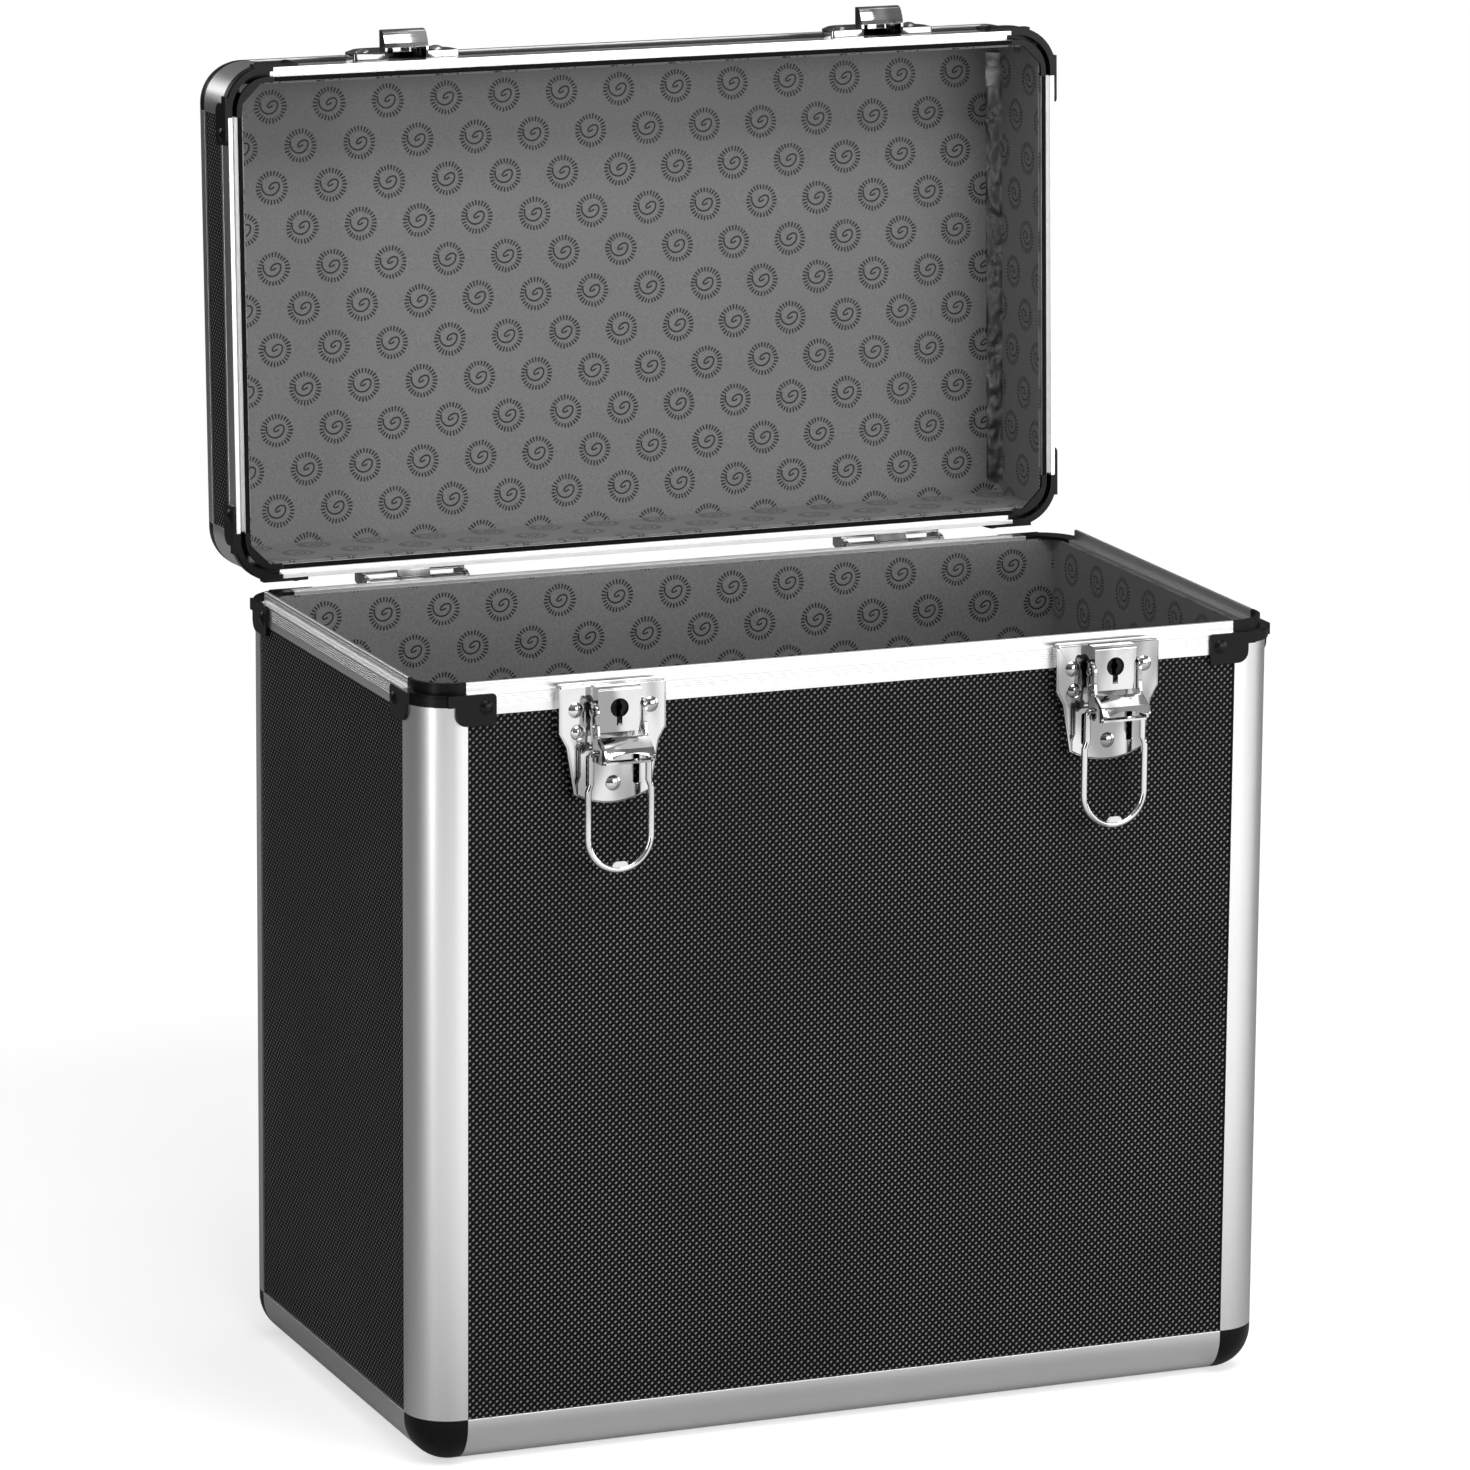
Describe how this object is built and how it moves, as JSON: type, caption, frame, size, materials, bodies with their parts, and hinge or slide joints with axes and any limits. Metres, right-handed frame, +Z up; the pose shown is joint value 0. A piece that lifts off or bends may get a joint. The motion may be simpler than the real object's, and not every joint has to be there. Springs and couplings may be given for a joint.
{
  "type": "record carrying case",
  "caption": "Upright carrying case for vinyl records with a deep hinged lid, metal edge rails, plastic corners, lockable bail latches and a folding top handle.",
  "frame": {"origin": "middle of the underside, in the plane on which the bottom rails stand", "axes": "+Z up; -Y out of the front, where the latches are; +X to the right seen from the front. The lid is drawn open at its stop."},
  "size_m": [0.3646, 0.3023, 0.5262],
  "materials": {
    "laminate": "black embossed laminate on board",
    "rail_aluminium": "satin anodised extrusion",
    "corner_plastic": "fine matt moulding",
    "black_rivet": "satin black",
    "lining": "thin embossed lining sheet",
    "handle_plastic": "fine matt moulding",
    "lock_steel": "dull plated",
    "hinge_steel": "nickel plated",
    "chrome": "bright chromed steel"
  },
  "bodies": {
    "case": {"front_panel": "laminate", "back_panel": "laminate", "left_panel": "laminate", "right_panel": "laminate", "bottom_panel": "laminate", "corner_rail_front_left": "rail_aluminium", "corner_rail_front_right": "rail_aluminium", "corner_rail_back_left": "rail_aluminium", "corner_rail_back_right": "rail_aluminium", "bottom_rail_front": "rail_aluminium", "bottom_rail_back": "rail_aluminium", "bottom_rail_left": "rail_aluminium", "bottom_rail_right": "rail_aluminium", "bottom_ball_corners": "corner_plastic", "body_rim_front": "rail_aluminium", "body_rim_back": "rail_aluminium", "body_rim_left": "rail_aluminium", "body_rim_right": "rail_aluminium", "body_rim_corners": "corner_plastic", "body_rim_corner_rivets": "black_rivet", "body_lining": "lining", "latch_base_left": "chrome", "latch_base_right": "chrome", "lock_box_left": "chrome", "lock_box_right": "chrome", "lever_pins": "chrome", "case_rivets": "chrome", "body_hinge_leaves": "hinge_steel", "hinge_pins": "hinge_steel"},
    "lid": {"lid_hinge_leaves": "hinge_steel", "lid_top_panel": "laminate", "lid_front_panel": "laminate", "lid_back_panel": "laminate", "lid_left_panel": "laminate", "lid_right_panel": "laminate", "lid_rail_front": "rail_aluminium", "lid_rail_back": "rail_aluminium", "lid_rail_left": "rail_aluminium", "lid_rail_right": "rail_aluminium", "lid_corner_rails": "rail_aluminium", "lid_ball_corners": "corner_plastic", "lid_rim_front": "rail_aluminium", "lid_rim_back": "rail_aluminium", "lid_rim_left": "rail_aluminium", "lid_rim_right": "rail_aluminium", "lid_rim_corners": "corner_plastic", "lid_rim_corner_rivets": "black_rivet", "lid_lining": "lining", "keeper_left": "chrome", "keeper_right": "chrome", "lid_rivets": "chrome", "handle_brackets": "chrome", "handle_pins": "chrome"},
    "handle": {"handle_grip": "handle_plastic"},
    "lever_left": {"latch_lever_left": "chrome"},
    "bail_left": {"latch_bail_left": "chrome"},
    "cam_left": {"lock_cam_left": "lock_steel"},
    "lever_right": {"latch_lever_right": "chrome"},
    "bail_right": {"latch_bail_right": "chrome"},
    "cam_right": {"lock_cam_right": "lock_steel"}
  },
  "joints": [
    {"name": "lid_hinge", "type": "hinge", "parent": "case", "child": "lid", "pos_m": [0, 0.1079, 0.3039], "axis": [1, 0, 0], "range_deg": [0, 92.5]},
    {"name": "lever_left_pivot", "type": "hinge", "parent": "case", "child": "lever_left", "pos_m": [-0.1036, -0.1126, 0.2975], "axis": [1, 0, 0], "range_deg": [-105, 0]},
    {"name": "bail_left_pivot", "type": "hinge", "parent": "lever_left", "child": "bail_left", "pos_m": [-0.1036, -0.1148, 0.282], "axis": [-1, 0, 0], "range_deg": [0, 188.7]},
    {"name": "cam_left_turn", "type": "hinge", "parent": "case", "child": "cam_left", "pos_m": [-0.1036, -0.1105, 0.2989], "axis": [0, -1, 0], "range_deg": [0, 90]},
    {"name": "lever_right_pivot", "type": "hinge", "parent": "case", "child": "lever_right", "pos_m": [0.1036, -0.1126, 0.2975], "axis": [1, 0, 0], "range_deg": [-105, 0]},
    {"name": "bail_right_pivot", "type": "hinge", "parent": "lever_right", "child": "bail_right", "pos_m": [0.1036, -0.1148, 0.282], "axis": [-1, 0, 0], "range_deg": [0, 188.7]},
    {"name": "cam_right_turn", "type": "hinge", "parent": "case", "child": "cam_right", "pos_m": [0.1036, -0.1105, 0.2989], "axis": [0, -1, 0], "range_deg": [0, 90]},
    {"name": "handle_pivot", "type": "hinge", "parent": "lid", "child": "handle", "pos_m": [0, 0.17055, 0.40917], "axis": [1, 0, 0], "range_deg": [0, 180]}
  ]
}
